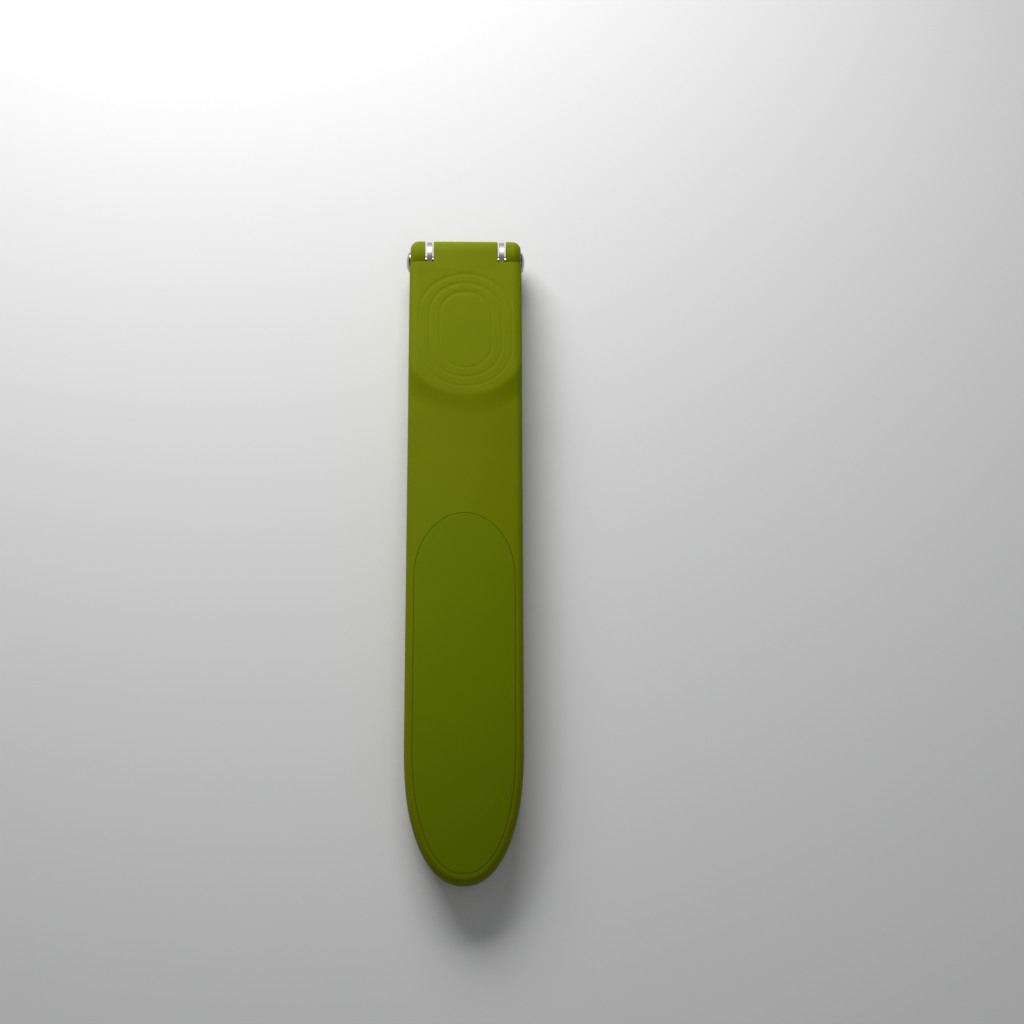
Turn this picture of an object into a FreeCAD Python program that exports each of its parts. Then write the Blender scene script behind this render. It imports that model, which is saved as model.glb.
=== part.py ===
"""Garlic press: two green nylon handles, a perforated steel basket and a riveted hinge.

The press lies closed on its lower handle. +X runs across it, along the hinge pin. +Y points to the
hinge end and +Z up, out of the upper handle's face. The origin is at the middle of the footprint, on
the surface that it lies on. Along the press, a place is given as its reach, the distance from the
hinge pin towards the tip, and its rise above the pin. All lengths are in millimetres.
"""
import FreeCAD, Part
import math
import os

Vector = FreeCAD.Vector

# Whole press
TOTAL_LENGTH = 206.0
KNUCKLE_RADIUS = 6.5
TIP_REACH = TOTAL_LENGTH - KNUCKLE_RADIUS
HINGE_Y = TOTAL_LENGTH / 2 - KNUCKLE_RADIUS
PIN_HEIGHT = 7.5
HEAD_HALF_WIDTH = 17.0
LOWER_HALF_WIDTH = 16.6
GRIP_HALF_WIDTH = 16.9
TIP_STEP = 1.5
TIP_START = 160.0
TIP_FULLNESS = 2.2
TIP_STEPS = 12
FAR = 60.0

# Hinge
PIN_RADIUS = 2.0
PRESS_GAP = 0.02
RUNNING_GAP = 0.06
SWING_GAP = 0.4
KNUCKLE_HALF_WIDTH = 9.8
EAR_INSIDE = 12.4
HEAD_RADIUS = 3.2
HEAD_PROUD = 1.5
HEAD_RIM = 0.35
PIN_END = 0.8
PIN_CHAMFER = 0.2

# Steel basket
SHEET = 1.5
BASKET_HALF_WIDTH = 11.8
BASKET_NEAR = 7.4
BASKET_FAR = 50.4
BASKET_LIFT = 0.3
LUG_RADIUS = 6.2
FLANGE = 1.7
FLANGE_NEAR = 12.0
NEAR_WALL_TOP = 2.8
BEND_RADIUS = 2.4
BOTTOM_BEND = 0.9
LUG_TAPER = 0.4
SLOT_COLUMNS = 7
SLOTS_PER_COLUMN = 12
SLOT_SPACING = 2.5
SLOT_PITCH = 3.25
SLOT_LENGTH = 2.3
SLOT_WIDTH = 1.1

# Upper handle's head
HEAD_SLOPE = math.radians(3.5)
PARTING_SLOPE = math.radians(1.5)
HEAD_PARTING = 3.9
GRIP_PARTING = 1.6
HANDLE_GAP = 1.0
HEAD_GAP = 0.5
HEAD_EDGE = 0.7
NOTCH_REACH = 3.4
PAD_CENTRE = 31.9
PAD_RADIUS = 18.5
RING_CENTRE = 27.75
RING_STRAIGHT = 5.6
RING_RADII = (7.8, 10.95, 14.15)
RING_WIDTH = 1.1
RING_DEPTH = 0.15

# Lower handle's frame
FRAME_END = 54.6
FRAME_CORNER = 6.0
WINDOW_GAP = 0.4
FRAME_ROUND = 2.6
SEAT_GAP = 0.1
RAMP_NEAR = 56.5
RAMP_FAR = 66.5

# Handle skins, ribs and grips
EDGE_ROUND = 1.8
SKIN = 2.2
RIB = 1.6
RIB_SPACING = 22.0
CORE_NEAR = 68.0
CORE_FAR = 190.0
GRIP_NEAR = 89.2
GRIP_INSET = 2.3
GRIP_TIP_INSET = 2.8
GRIP_ROUND_LENGTH = 19.5
GRIP_THICK = 2.0
GRIP_GAP = 0.15

# Plunger
PLUNGER_NEAR = 9.6
PLUNGER_FAR = 47.8
PLUNGER_HALF_WIDTH = 9.9
PLUNGER_CLEAR = 0.5
PLUNGER_CORNER = 1.8
PLUNGER_EDGE = 0.8
TREAD_SPACING = 3.2
TREAD_WIDTH = 0.8
TREAD_DEPTH = 0.5

# Reach, rise of the middle and crown radius along each handle's outside
UPPER_BACK = ((28, 8.0, 110), (46, 9.0, 105), (55, 9.1, 100), (65, 9.1, 90), (80, 9.4, 80), (102, 9.9, 75),
              (125, 10.0, 75), (150, 9.35, 75), (170, 7.9, 70), (185, 6.1, 60), (196, 4.3, 50), (206, 2.2, 50))
LOWER_BACK = ((36, -6.4, 300), (46, -6.6, 300), (56, -6.5, 200), (66, -6.35, 110), (82, -6.6, 80), (105, -7.2, 75),
              (128, -7.45, 75), (150, -7.1, 75), (170, -5.9, 70), (185, -4.3, 60), (196, -2.7, 50), (206, -0.8, 50))
BACK_HALF_WIDTH = 24.0


def place(x, reach, rise):
    """Point at a distance across the press, a reach from the pin and a rise above it."""
    return Vector(x, HINGE_Y - reach, PIN_HEIGHT + rise)


def head_top(reach):
    """Rise of the upper handle's flat head, which is tangent to the knuckle."""
    return KNUCKLE_RADIUS / math.cos(HEAD_SLOPE) + reach * math.tan(HEAD_SLOPE)


def head_underside(reach):
    """Rise of the underside of the upper handle's head."""
    return HEAD_PARTING + reach * math.tan(PARTING_SLOPE)


def frame_top(reach):
    """Rise of the lower handle's frame, just under the upper handle's head."""
    return head_underside(reach) - HEAD_GAP


def side_prism(points, x_from, x_to):
    """Prism across the press whose section is a polygon of (reach, rise) points."""
    corners = [place(x_from, reach, rise) for reach, rise in points]
    wire = Part.makePolygon(corners + corners[:1])
    return Part.Face(wire).extrude(Vector(x_to - x_from, 0, 0))


def plan_prism(wire):
    """Tall prism that stands on a flat outline drawn FAR below the pin."""
    return Part.Face(wire).extrude(Vector(0, 0, 2 * FAR))


def pin_cylinder(radius, x_from, x_to):
    """Cylinder round the hinge pin's axis."""
    return Part.makeCylinder(radius, x_to - x_from, place(x_from, 0, 0), Vector(1, 0, 0))


def mirrored(shape):
    """The same shape on the other side of the press."""
    return shape.mirror(Vector(0, 0, 0), Vector(1, 0, 0))


def both_sides(shape):
    """A shape fused with its mirror image."""
    return shape.fuse(mirrored(shape))


def box_between(x_from, x_to, reach_from, reach_to, rise_from, rise_to):
    """Plain box given by its limits."""
    points = ((reach_from, rise_from), (reach_to, rise_from), (reach_to, rise_to), (reach_from, rise_to))
    return side_prism(points, x_from, x_to)


def round_corners(shape, radius, chosen):
    """Shape with its chosen edges rounded."""
    edges = [edge for edge in shape.Edges if chosen(edge)]
    return shape.makeFillet(radius, edges)


def middle(edge):
    """Point half way along an edge."""
    return edge.valueAt((edge.FirstParameter + edge.LastParameter) / 2)


def lies_along(edge, direction):
    """Whether an edge is straight and parallel to a direction."""
    if not isinstance(edge.Curve, Part.Line):
        return False
    return abs(edge.tangentAt(edge.FirstParameter).dot(direction)) > 0.999


def tip_curve(half_width, tip):
    """Bullet-shaped end of a handle, from one side to the other round its tip."""
    points = []
    for step in range(TIP_STEPS + 1):
        angle = math.pi * step / TIP_STEPS
        across = half_width * math.copysign(abs(math.cos(angle)) ** (2 / TIP_FULLNESS), math.cos(angle))
        along = (tip - TIP_START) * abs(math.sin(angle)) ** (2 / TIP_FULLNESS)
        points.append(place(across, TIP_START + along, -FAR))
    curve = Part.BSplineCurve()
    curve.interpolate(Points=points, InitialTangent=Vector(0, -1, 0), FinalTangent=Vector(0, 1, 0))
    return curve.toShape()


def tip_of(stations):
    """Reach of a handle's tip: the lower handle stops a little short of the upper one."""
    return TIP_REACH if stations[0][1] > 0 else TIP_REACH - TIP_STEP


def handle_outline(near, near_half_width, end, inset=0.0):
    """Plan outline of a handle from a reach near the hinge to its tip."""
    near_side = near_half_width - inset
    grip_side = GRIP_HALF_WIDTH - inset
    tip = tip_curve(grip_side, end - inset)
    corners = [place(-grip_side, TIP_START, -FAR), place(-near_side, near, -FAR)]
    corners += [place(near_side, near, -FAR), place(grip_side, TIP_START, -FAR)]
    return Part.Wire([tip] + Part.makePolygon(corners).Edges)


def grip_outline(end, extra=0.0):
    """Plan outline of the inset grip, half an ellipse at the head's end and a bullet at the tip's."""
    side = GRIP_HALF_WIDTH - GRIP_INSET + extra
    shoulder = GRIP_NEAR + GRIP_ROUND_LENGTH
    length = GRIP_ROUND_LENGTH + extra
    tip = tip_curve(side, end - GRIP_TIP_INSET + extra)
    ellipse = Part.Ellipse(place(0, shoulder - length, -FAR), place(side, shoulder, -FAR), place(0, shoulder, -FAR))
    ends = [ellipse.parameter(place(side, shoulder, -FAR)), ellipse.parameter(place(-side, shoulder, -FAR))]
    arc = Part.ArcOfEllipse(ellipse, min(ends), max(ends)).toShape()
    if middle(arc).y < place(0, shoulder, 0).y:
        arc = Part.ArcOfEllipse(ellipse, max(ends), min(ends) + 2 * math.pi).toShape()
    left = Part.makeLine(place(-side, shoulder, -FAR), place(-side, TIP_START, -FAR))
    right = Part.makeLine(place(side, TIP_START, -FAR), place(side, shoulder, -FAR))
    return Part.Wire(Part.__sortEdges__([arc, left, tip, right]))


def crowned_back(stations, shift=0.0):
    """Solid on the inner side of a handle's crowned outside, from its line of stations."""
    outward = 1.0 if stations[0][1] > 0 else -1.0
    sections = []
    for reach, rise, crown in stations:
        drop = crown - math.sqrt(crown ** 2 - BACK_HALF_WIDTH ** 2)
        top = place(0, reach, rise - outward * shift)
        left = place(-BACK_HALF_WIDTH, reach, rise - outward * (shift + drop))
        right = place(BACK_HALF_WIDTH, reach, rise - outward * (shift + drop))
        deep_right = place(BACK_HALF_WIDTH, reach, -outward * FAR / 2)
        deep_left = place(-BACK_HALF_WIDTH, reach, -outward * FAR / 2)
        arc = Part.Arc(left, top, right).toShape()
        rest = Part.makePolygon([right, deep_right, deep_left, left])
        sections.append(Part.Wire([arc] + rest.Edges))
    return Part.makeLoft(sections, True, False)


def back_edges(shape, near, outward):
    """Edges round a handle's crowned outside, all but the one at its near end."""
    def size_outside(face):
        low_u, high_u, low_v, high_v = face.ParameterRange
        normal = face.normalAt((low_u + high_u) / 2, (low_v + high_v) / 2)
        return face.Area if normal.z * outward > 0.8 else 0.0
    back = max(shape.Faces, key=size_outside)
    limit = place(0, near, 0).y - 0.01
    return [edge for edge in back.OuterWire.Edges if middle(edge).y < limit]


def ribbed_core(stations, parting, outward):
    """Hollow inside a handle, open on its inner side, with ribs left in it."""
    depth = GRIP_THICK + SKIN
    core = plan_prism(handle_outline(CORE_NEAR, GRIP_HALF_WIDTH, tip_of(stations), SKIN + EDGE_ROUND / 2))
    core = core.common(crowned_back(stations, depth))
    low, high = sorted((parting, parting + outward * FAR / 2))
    core = core.common(box_between(-FAR, FAR, CORE_NEAR, CORE_FAR, low, high))
    ribs = [box_between(-RIB / 2, RIB / 2, CORE_NEAR, CORE_FAR, -FAR / 2, FAR / 2)]
    reach = CORE_NEAR + RIB_SPACING
    while reach < CORE_FAR - RIB:
        ribs.append(box_between(-FAR / 2, FAR / 2, reach, reach + RIB, -FAR / 2, FAR / 2))
        reach += RIB_SPACING
    return core.cut(ribs)


def handle_grip(handle, stations):
    """Inset grip, cut from the outer skin of a handle's full body."""
    inside = crowned_back(stations, GRIP_THICK)
    return handle.common(plan_prism(grip_outline(tip_of(stations)))).cut(inside)


def grip_pocket(stations):
    """Space cut from a handle for its inset grip."""
    return plan_prism(grip_outline(tip_of(stations), GRIP_GAP)).cut(crowned_back(stations, GRIP_THICK))


def stadium(radius):
    """Flat stadium outline of the rings on the head."""
    near = RING_CENTRE - RING_STRAIGHT
    far = RING_CENTRE + RING_STRAIGHT
    near_arc = Part.Arc(place(-radius, near, -FAR), place(0, near - radius, -FAR), place(radius, near, -FAR))
    far_arc = Part.Arc(place(radius, far, -FAR), place(0, far + radius, -FAR), place(-radius, far, -FAR))
    right = Part.makeLine(place(radius, near, -FAR), place(radius, far, -FAR))
    left = Part.makeLine(place(-radius, far, -FAR), place(-radius, near, -FAR))
    return Part.Wire([near_arc.toShape(), right, far_arc.toShape(), left])


def ring_grooves():
    """Three shallow oval channels that follow the slope of the head."""
    points = [(0, head_top(0) - RING_DEPTH), (FAR, head_top(FAR) - RING_DEPTH), (FAR, FAR / 2), (0, FAR / 2)]
    above = side_prism(points, -FAR, FAR)
    grooves = []
    for radius in RING_RADII:
        band = plan_prism(stadium(radius + RING_WIDTH / 2)).cut(plan_prism(stadium(radius - RING_WIDTH / 2)))
        grooves.append(band.common(above))
    return grooves


def head_slab():
    """Flat head of the upper handle, rounded towards the grip."""
    end = PAD_CENTRE + PAD_RADIUS
    points = [(NOTCH_REACH, head_underside(NOTCH_REACH)), (end, head_underside(end))]
    points += [(end, head_top(end)), (NOTCH_REACH, head_top(NOTCH_REACH))]
    slab = side_prism(points, -HEAD_HALF_WIDTH, HEAD_HALF_WIDTH)
    rounded = Part.makeCylinder(PAD_RADIUS, 2 * FAR, place(0, PAD_CENTRE, -FAR), Vector(0, 0, 1))
    straight = box_between(-HEAD_HALF_WIDTH, HEAD_HALF_WIDTH, 0, PAD_CENTRE, -FAR, FAR)
    slab = slab.common(rounded.fuse(straight))
    below_top = place(0, 0, head_top(0) - HEAD_EDGE).z
    return round_corners(slab, HEAD_EDGE, lambda edge: is_slab_rim(edge, below_top))


def is_slab_rim(edge, low):
    """Whether an edge is on the rim of the head's top, at its sides or its round end."""
    point = middle(edge)
    level = edge.BoundBox.ZMin > low and edge.BoundBox.DiagonalLength > 1.5
    if not level or lies_along(edge, Vector(0, 0, 1)):
        return False
    return point.y < place(0, NOTCH_REACH + 1, 0).y


def knuckle():
    """Centre knuckle of the upper handle, with the web that joins it to the head."""
    barrel = pin_cylinder(KNUCKLE_RADIUS, -KNUCKLE_HALF_WIDTH, KNUCKLE_HALF_WIDTH)
    points = [(0, 0), (NOTCH_REACH, HEAD_PARTING), (NOTCH_REACH + 1, head_underside(NOTCH_REACH + 1))]
    points += [(NOTCH_REACH + 1, head_top(NOTCH_REACH + 1)), (0, head_top(0))]
    web = side_prism(points, -KNUCKLE_HALF_WIDTH, KNUCKLE_HALF_WIDTH)
    return barrel.fuse(web)


def upper_parting():
    """Everything above the upper handle's underside."""
    points = [(-FAR, head_underside(-FAR)), (RAMP_NEAR, head_underside(RAMP_NEAR)), (RAMP_FAR, GRIP_PARTING)]
    points += [(2 * TIP_REACH, GRIP_PARTING), (2 * TIP_REACH, FAR), (-FAR, FAR)]
    return side_prism(points, -FAR, FAR)


def lower_parting():
    """Everything below the lower handle's upper side."""
    low = GRIP_PARTING - HANDLE_GAP
    points = [(-FAR, frame_top(-FAR)), (RAMP_NEAR - HEAD_GAP, frame_top(RAMP_NEAR)), (RAMP_FAR - HEAD_GAP, low)]
    points += [(2 * TIP_REACH, low), (2 * TIP_REACH, -FAR), (-FAR, -FAR)]
    return side_prism(points, -FAR, FAR)


def upper_body():
    """Grip half of the upper handle, with its outer edge rounded."""
    near = UPPER_BACK[0][0]
    body = plan_prism(handle_outline(near, HEAD_HALF_WIDTH, tip_of(UPPER_BACK))).common(crowned_back(UPPER_BACK))
    body = body.makeFillet(EDGE_ROUND, back_edges(body, near, 1))
    return body.common(upper_parting())


def make_upper_handle(body):
    """Front handle: knuckle, ringed head and ribbed grip."""
    handle = head_slab().fuse([body, knuckle()]).removeSplitter()
    clearance = pin_cylinder(KNUCKLE_RADIUS + SWING_GAP, KNUCKLE_HALF_WIDTH, FAR)
    handle = handle.cut(both_sides(clearance))
    handle = handle.cut(pin_cylinder(PIN_RADIUS + RUNNING_GAP, -FAR, FAR))
    handle = handle.cut([ribbed_core(UPPER_BACK, GRIP_PARTING, 1), grip_pocket(UPPER_BACK)])
    return handle.cut(ring_grooves())


def lower_body():
    """Grip half of the lower handle, with its outer edge rounded."""
    near = LOWER_BACK[0][0]
    body = plan_prism(handle_outline(near, LOWER_HALF_WIDTH, tip_of(LOWER_BACK))).common(crowned_back(LOWER_BACK))
    body = body.makeFillet(EDGE_ROUND, back_edges(body, near, -1))
    return body.common(lower_parting())


def ear_and_wall():
    """One hinge ear of the lower handle and the side wall that it grows into."""
    straight_end = FRAME_END - FRAME_CORNER
    foot = math.sqrt(2) * KNUCKLE_RADIUS
    points = [(0, -KNUCKLE_RADIUS), (foot, -PIN_HEIGHT), (straight_end, -PIN_HEIGHT)]
    points += [(straight_end, frame_top(straight_end)), (0, frame_top(0))]
    wall = side_prism(points, EAR_INSIDE, LOWER_HALF_WIDTH)
    wall = wall.fuse(pin_cylinder(KNUCKLE_RADIUS, EAR_INSIDE, LOWER_HALF_WIDTH)).removeSplitter()
    end_y = place(0, straight_end, 0).y

    def outer_rim(edge):
        point = middle(edge)
        on_face = abs(point.x - LOWER_HALF_WIDTH) < 0.001 and point.y > end_y + 0.01
        return on_face and not is_wall_top(edge)
    return round_corners(wall, FRAME_ROUND, outer_rim)


def is_wall_top(edge):
    """Whether an edge is on the straight top of a side wall."""
    point = middle(edge)
    reach = HINGE_Y - point.y
    return abs(point.z - PIN_HEIGHT - frame_top(reach)) < 0.01


def frame_end():
    """End of the lower handle's frame, with round corners, beyond the basket."""
    near = FRAME_END - FRAME_CORNER
    points = [(near, -PIN_HEIGHT), (FRAME_END, -PIN_HEIGHT), (FRAME_END, frame_top(FRAME_END))]
    points += [(near, frame_top(near))]
    block = side_prism(points, -LOWER_HALF_WIDTH, LOWER_HALF_WIDTH)
    end_y = place(0, FRAME_END, 0).y
    near_y = place(0, near, 0).y
    block = round_corners(block, FRAME_CORNER - 0.01,
                          lambda edge: lies_along(edge, Vector(0, 0, 1)) and abs(middle(edge).y - end_y) < 0.01)
    return round_corners(block, FRAME_ROUND,
                         lambda edge: middle(edge).z < 0.01 and middle(edge).y < near_y - 0.001)


def window():
    """Opening for the basket, with a rebate round its top for the basket's flange."""
    side = BASKET_HALF_WIDTH + WINDOW_GAP
    end = BASKET_FAR + 2 * WINDOW_GAP
    hole = box_between(-side, side, -FAR, end, -FAR, FAR)
    hole = round_corners(hole, BEND_RADIUS, lambda edge: lies_along(edge, Vector(0, 0, 1)))
    step_side = side + FLANGE
    step_end = end + FLANGE
    near = FLANGE_NEAR - WINDOW_GAP
    floor_near = frame_top(near) - SHEET - SEAT_GAP
    floor_end = frame_top(step_end) - SHEET - SEAT_GAP
    points = [(near, floor_near), (step_end, floor_end), (step_end, FAR), (near, FAR)]
    return hole.fuse(side_prism(points, -step_side, step_side))


def make_lower_handle(body):
    """Rear handle: hinge ears, window frame and ribbed grip."""
    handle = body.fuse([both_sides(ear_and_wall()), frame_end()]).removeSplitter()
    knuckle_room = pin_cylinder(KNUCKLE_RADIUS + SWING_GAP, -EAR_INSIDE, EAR_INSIDE)
    handle = handle.cut([window(), knuckle_room, pin_cylinder(PIN_RADIUS + PRESS_GAP, -FAR, FAR)])
    low = GRIP_PARTING - HANDLE_GAP
    return handle.cut([ribbed_core(LOWER_BACK, low, -1), grip_pocket(LOWER_BACK)])


def basket_shell():
    """Open pan of bent sheet: bottom, two sides and two ends."""
    bottom = BASKET_LIFT - PIN_HEIGHT
    outer = pan_block(0, bottom, BEND_RADIUS)
    inner = pan_block(SHEET, bottom + SHEET, BEND_RADIUS - SHEET)
    shell = outer.cut(inner)
    above_wall = box_between(-BASKET_HALF_WIDTH + SHEET, BASKET_HALF_WIDTH - SHEET,
                             -FAR, BASKET_NEAR + 2 * SHEET, NEAR_WALL_TOP, FAR)
    return shell.cut(above_wall)


def pan_block(inset, bottom, radius):
    """Block with round corners and round bottom edges, as high as the frame or higher."""
    near = BASKET_NEAR + inset
    far = BASKET_FAR - inset
    side = BASKET_HALF_WIDTH - inset
    extra = FAR if inset else 0
    points = [(near, bottom), (far, bottom), (far, frame_top(far) + extra), (near, frame_top(near) + extra)]
    block = side_prism(points, -side, side)
    far_y = place(0, far, 0).y
    bottom_z = place(0, 0, bottom).z
    block = round_corners(block, radius,
                          lambda edge: lies_along(edge, Vector(0, 0, 1)) and abs(middle(edge).y - far_y) < 0.01)
    return round_corners(block, radius * BOTTOM_BEND, lambda edge: abs(edge.BoundBox.ZMax - bottom_z) < 0.01)


def basket_lug():
    """Hinge lug of the basket and the arm that joins it to a side wall."""
    inside = BASKET_HALF_WIDTH - SHEET
    disc = pin_cylinder(LUG_RADIUS, inside, BASKET_HALF_WIDTH)
    join = BASKET_NEAR + BEND_RADIUS
    points = [(0, -LUG_RADIUS), (join, -LUG_RADIUS + LUG_TAPER), (join, frame_top(join)), (0, frame_top(0))]
    return disc.fuse(side_prism(points, inside, BASKET_HALF_WIDTH))


def basket_flange():
    """Flat rim along the basket's sides and far end."""
    side = BASKET_HALF_WIDTH + FLANGE
    far = BASKET_FAR + FLANGE
    points = [(FLANGE_NEAR, frame_top(FLANGE_NEAR) - SHEET), (far, frame_top(far) - SHEET)]
    points += [(far, frame_top(far)), (FLANGE_NEAR, frame_top(FLANGE_NEAR))]
    rim = side_prism(points, -side, side)
    rim = round_corners(rim, BEND_RADIUS, lambda edge: lies_along(edge, Vector(0, 0, 1)))
    hole = pan_block(SHEET, BASKET_LIFT - PIN_HEIGHT, BEND_RADIUS - SHEET)
    near_gap = box_between(-side + FLANGE + SHEET, side - FLANGE - SHEET, -FAR, BASKET_FAR / 2, -FAR, FAR)
    return rim.cut([hole, near_gap])


def basket_slots():
    """Staggered columns of long slots through the basket's bottom."""
    slots = []
    middle_reach = (BASKET_NEAR + BASKET_FAR) / 2
    for column in range(SLOT_COLUMNS):
        count = SLOTS_PER_COLUMN - column % 2
        across = (column - (SLOT_COLUMNS - 1) / 2) * SLOT_SPACING
        for row in range(count):
            reach = middle_reach + (row - (count - 1) / 2) * SLOT_PITCH
            slots.append(slot_prism(across, reach))
    return slots


def slot_prism(across, reach):
    """One slot with round ends, as a prism through the sheet."""
    radius = SLOT_WIDTH / 2
    straight = SLOT_LENGTH / 2 - radius
    low = BASKET_LIFT - PIN_HEIGHT - 1
    near_arc = Part.Arc(place(across - radius, reach - straight, low), place(across, reach - straight - radius, low),
                        place(across + radius, reach - straight, low)).toShape()
    far_arc = Part.Arc(place(across + radius, reach + straight, low), place(across, reach + straight + radius, low),
                       place(across - radius, reach + straight, low)).toShape()
    right = Part.makeLine(place(across + radius, reach - straight, low), place(across + radius, reach + straight, low))
    left = Part.makeLine(place(across - radius, reach + straight, low), place(across - radius, reach - straight, low))
    wire = Part.Wire([near_arc, right, far_arc, left])
    return Part.Face(wire).extrude(Vector(0, 0, SHEET + 2))


def make_basket():
    """Perforated steel basket with its two hinge lugs."""
    basket = basket_shell().fuse([both_sides(basket_lug()), basket_flange()]).removeSplitter()
    basket = basket.cut(pin_cylinder(PIN_RADIUS + RUNNING_GAP, -FAR, FAR))
    return basket.cut(basket_slots())


def make_plunger():
    """Press block that hangs from the head and fills the basket."""
    bottom = BASKET_LIFT + SHEET + PLUNGER_CLEAR - PIN_HEIGHT
    points = [(PLUNGER_NEAR, bottom), (PLUNGER_FAR, bottom), (PLUNGER_FAR, head_underside(PLUNGER_FAR))]
    points += [(PLUNGER_NEAR, head_underside(PLUNGER_NEAR))]
    block = side_prism(points, -PLUNGER_HALF_WIDTH, PLUNGER_HALF_WIDTH)
    block = round_corners(block, PLUNGER_CORNER, lambda edge: lies_along(edge, Vector(0, 0, 1)))
    bottom_z = place(0, 0, bottom).z
    block = round_corners(block, PLUNGER_EDGE, lambda edge: abs(edge.BoundBox.ZMax - bottom_z) < 0.01)
    return block.cut(plunger_treads(bottom))


def plunger_treads(bottom):
    """Crossed grooves in the plunger's pressing face."""
    grooves = []
    count = round((PLUNGER_FAR - PLUNGER_NEAR) / TREAD_SPACING)
    for index in range(1, count):
        reach = PLUNGER_NEAR + index * (PLUNGER_FAR - PLUNGER_NEAR) / count
        grooves.append(box_between(-FAR, FAR, reach - TREAD_WIDTH / 2, reach + TREAD_WIDTH / 2,
                                   bottom - 1, bottom + TREAD_DEPTH))
    count = round(2 * PLUNGER_HALF_WIDTH / TREAD_SPACING)
    for index in range(1, count):
        across = -PLUNGER_HALF_WIDTH + index * 2 * PLUNGER_HALF_WIDTH / count
        grooves.append(box_between(across - TREAD_WIDTH / 2, across + TREAD_WIDTH / 2, 0, FAR,
                                   bottom - 1, bottom + TREAD_DEPTH))
    return grooves


def make_hinge_pin():
    """Plain steel pin, whose ends are held by the two heads."""
    half = LOWER_HALF_WIDTH + PIN_END
    pin = pin_cylinder(PIN_RADIUS, -half, half)
    return pin.makeChamfer(PIN_CHAMFER, [edge for edge in pin.Edges if isinstance(edge.Curve, Part.Circle)])


def make_rivet_head():
    """Domed head on the right end of the pin, with a blind hole for it."""
    rise = HEAD_PROUD - HEAD_RIM
    base = LOWER_HALF_WIDTH + HEAD_RIM
    edge_point = Vector(base, HEAD_RADIUS, 0)
    top = Vector(LOWER_HALF_WIDTH + HEAD_PROUD, 0, 0)
    sphere = (HEAD_RADIUS ** 2 + rise ** 2) / (2 * rise)
    half_angle = math.asin(HEAD_RADIUS / sphere) / 2
    centre_x = top.x - sphere
    between = Vector(centre_x + sphere * math.cos(half_angle), sphere * math.sin(half_angle), 0)
    dome = Part.Arc(edge_point, between, top).toShape()
    rest = Part.makePolygon([top, Vector(LOWER_HALF_WIDTH, 0, 0), Vector(LOWER_HALF_WIDTH, HEAD_RADIUS, 0), edge_point])
    face = Part.Face(Part.Wire([dome] + rest.Edges))
    head = face.revolve(Vector(0, 0, 0), Vector(1, 0, 0), 360)
    head.translate(place(0, 0, 0))
    return head.cut(pin_cylinder(PIN_RADIUS + PRESS_GAP, 0, LOWER_HALF_WIDTH + PIN_END + PRESS_GAP))


def main():
    """Make every piece and write it to its own file."""
    os.makedirs("parts", exist_ok=True)
    upper = upper_body()
    lower = lower_body()
    right_head = make_rivet_head()
    pieces = {
        "lower_handle": make_lower_handle(lower),
        "lower_grip": handle_grip(lower, LOWER_BACK),
        "upper_handle": make_upper_handle(upper),
        "upper_grip": handle_grip(upper, UPPER_BACK),
        "plunger": make_plunger(),
        "basket": make_basket(),
        "hinge_pin": make_hinge_pin(),
        "left_rivet_head": mirrored(right_head),
        "right_rivet_head": right_head,
    }
    for node, shape in pieces.items():
        shape.exportStep(f"parts/{node}.step")
        box = shape.BoundBox
        print(f"{node:18} solids {len(shape.Solids)} valid {shape.isValid()} volume {shape.Volume:9.1f}"
              f"  y {box.YMin:7.2f} {box.YMax:7.2f}  z {box.ZMin:6.2f} {box.ZMax:6.2f}  x {box.XMax:6.2f}")


main()
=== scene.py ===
"""Looks of a garlic press: moulded handles and grips, steel basket and riveted hinge, on a pale studio floor.

Lengths are in metres. Along the press, a place is given as its reach, the distance from the hinge pin
towards the tip, and its rise above the pin. +X runs across the press, along the pin.
"""

import math

import bmesh
import bpy
import numpy as np
from bpy.props import FloatProperty, FloatVectorProperty, PointerProperty
from mathutils import Matrix, Vector


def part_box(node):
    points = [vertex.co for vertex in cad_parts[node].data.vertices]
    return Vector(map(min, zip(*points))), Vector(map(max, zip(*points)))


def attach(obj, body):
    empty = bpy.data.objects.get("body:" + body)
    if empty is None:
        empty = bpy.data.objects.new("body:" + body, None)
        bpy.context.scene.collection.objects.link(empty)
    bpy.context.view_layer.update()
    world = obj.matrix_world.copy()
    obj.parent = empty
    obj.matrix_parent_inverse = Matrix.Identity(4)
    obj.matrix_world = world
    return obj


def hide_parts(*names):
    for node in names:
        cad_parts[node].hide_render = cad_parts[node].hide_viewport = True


bl_info = {
    "name": "Garlic press looks",
    "version": (1, 0, 0),
    "blender": (4, 5, 0),
    "location": "3D View > Sidebar > Press",
    "description": "Builds the moulded and formed pieces of a garlic press round its packed model",
    "category": "Object",
}

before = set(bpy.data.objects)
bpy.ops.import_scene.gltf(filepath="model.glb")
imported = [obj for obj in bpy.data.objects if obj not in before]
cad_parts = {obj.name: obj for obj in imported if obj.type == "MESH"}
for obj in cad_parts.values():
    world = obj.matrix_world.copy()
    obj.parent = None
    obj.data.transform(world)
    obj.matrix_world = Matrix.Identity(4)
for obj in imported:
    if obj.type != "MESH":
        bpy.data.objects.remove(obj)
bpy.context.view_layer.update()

MM = 0.001
PIN_LOW, PIN_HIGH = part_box("hinge_pin")
PIN = (PIN_LOW + PIN_HIGH) / 2
PIN_RADIUS = (PIN_HIGH.z - PIN_LOW.z) / 2
HANDLE_LOW, HANDLE_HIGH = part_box("upper_handle")
HEAD_HALF_WIDTH = HANDLE_HIGH.x
KNUCKLE_RADIUS = HANDLE_HIGH.y - PIN.y
TIP_REACH = PIN.y - HANDLE_LOW.y
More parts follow.
